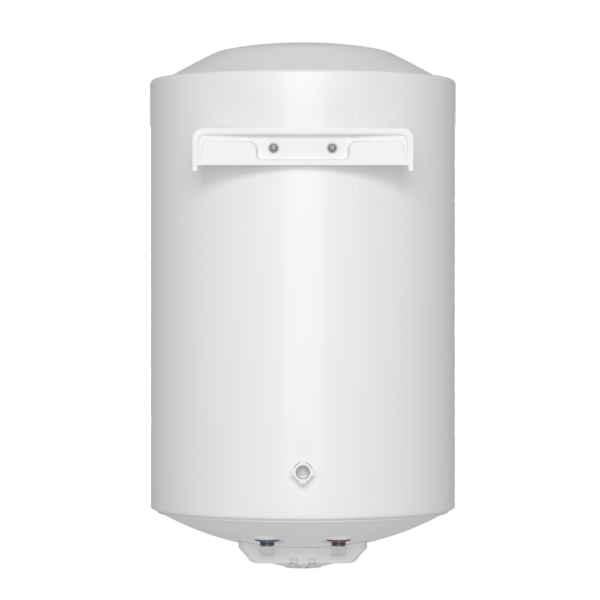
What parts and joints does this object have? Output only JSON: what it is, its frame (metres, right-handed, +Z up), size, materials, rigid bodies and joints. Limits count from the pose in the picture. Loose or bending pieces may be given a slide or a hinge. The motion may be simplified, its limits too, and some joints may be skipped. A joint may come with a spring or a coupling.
{
  "type": "tank water heater",
  "caption": "Wall-hung cylindrical electric storage water heater with domed caps, rear hanging bracket, two threaded water nipples and a control cover underneath.",
  "frame": {"origin": "on the wall plane, at the middle of the hanging bracket's straight lower edge, where wall hooks bear", "axes": "+Y points into the wall, -Y towards the room, +Z up along the tank; the tank axis is parallel to Z at Y = -0.234 m"},
  "size_m": [0.44, 0.457, 0.7564],
  "materials": {
    "jacket_paint": "satin",
    "cap_paint": "satin",
    "bracket_paint": "satin",
    "foam": "rough",
    "tank_enamel": "gloss",
    "flange_zinc": "satin",
    "screw_zinc": "satin",
    "gasket_rubber": "matt",
    "element_steel": "satin",
    "terminal_nickel": "satin",
    "anode_magnesium": "rough",
    "bulb_copper": "satin",
    "control_plastic": "matt",
    "cutout_plastic": "matt",
    "shaft_plastic": "matt",
    "button_plastic": "gloss",
    "terminal_brass": "satin",
    "wire_plastic": "matt",
    "nipple_steel": "satin",
    "blue_plastic": "gloss",
    "red_plastic": "gloss",
    "cover_plastic": "satin",
    "knob_plastic": "satin",
    "lamp_red": "gloss",
    "spacer_plastic": "satin",
    "housing_plastic": "matt",
    "dial_paint": "matt",
    "pointer_paint": "matt",
    "lens_clear": "gloss",
    "bezel_chrome": "polished"
  },
  "bodies": {
    "heater": {"outer_jacket": "jacket_paint", "top_cap": "cap_paint", "bottom_cap": "cap_paint", "insulation_foam": "foam", "tank_shell": "tank_enamel", "tank_top_head": "tank_enamel", "tank_bottom_head": "tank_enamel", "flange_collar": "tank_enamel", "flange_gasket": "gasket_rubber", "heater_flange": "flange_zinc", "flange_bolts": "screw_zinc", "heating_elements": "element_steel", "element_terminals": "terminal_nickel", "magnesium_anode": "anode_magnesium", "anode_nut": "screw_zinc", "thermostat_pocket": "element_steel", "thermostat_bulb": "bulb_copper", "thermostat_body": "control_plastic", "thermal_cutout": "cutout_plastic", "terminal_block": "control_plastic", "terminal_screws": "terminal_brass", "earth_stud": "terminal_brass", "internal_wires": "wire_plastic", "cold_inlet_nipple": "nipple_steel", "hot_outlet_nipple": "nipple_steel", "cold_inlet_ring": "blue_plastic", "hot_outlet_ring": "red_plastic", "inlet_diffuser": "control_plastic", "hot_standpipe": "element_steel", "control_cover": "cover_plastic", "cover_screws": "screw_zinc", "pilot_lamp_lens": "lamp_red", "pilot_lamp_body": "cutout_plastic", "cable_entry_block": "cover_plastic", "cable_clamp_bar": "control_plastic", "clamp_screws": "screw_zinc", "hanging_bracket": "bracket_paint", "bracket_screws": "screw_zinc", "bracket_washers": "screw_zinc", "hanger_plate": "flange_zinc", "spacer_socket": "spacer_plastic", "thermometer_housing": "housing_plastic", "thermometer_dial": "dial_paint", "thermometer_lens": "lens_clear", "thermometer_bezel": "bezel_chrome"},
    "knob": {"temperature_knob": "knob_plastic", "thermostat_shaft": "shaft_plastic"},
    "reset": {"reset_button": "button_plastic"},
    "spacer_carrier": {"spacer_core": "spacer_plastic"},
    "spacer": {"spacer_knob": "spacer_plastic"},
    "pointer": {"thermometer_pointer": "pointer_paint"}
  },
  "joints": [
    {"name": "temperature_turn", "type": "hinge", "parent": "heater", "child": "knob", "pos_m": [0, -0.242, -0.546], "axis": [0, 0, -1], "range_deg": [0, 270]},
    {"name": "reset_press", "type": "slide", "parent": "heater", "child": "reset", "axis": [0, 0, 1], "range_m": [0, 0.002], "stiffness_N_per_m": 800},
    {"name": "spacer_travel", "type": "slide", "parent": "heater", "child": "spacer_carrier", "axis": [0, 1, 0], "range_m": [-0.005, 0.008]},
    {"name": "spacer_turn", "type": "hinge", "parent": "spacer_carrier", "child": "spacer", "pos_m": [0, -0.009, -0.4184], "axis": [0, 1, 0], "range_deg": [-450, 720]},
    {"name": "pointer_turn", "type": "hinge", "parent": "heater", "child": "pointer", "pos_m": [0, -0.448, -0.366], "axis": [0, -1, 0], "range_deg": [-120, 120], "stiffness_Nm_per_rad": 0.0005}
  ],
  "couplings": [
    {"joint": "spacer_travel", "follows": "spacer_turn", "m_per_rad": 0.00063662}
  ]
}
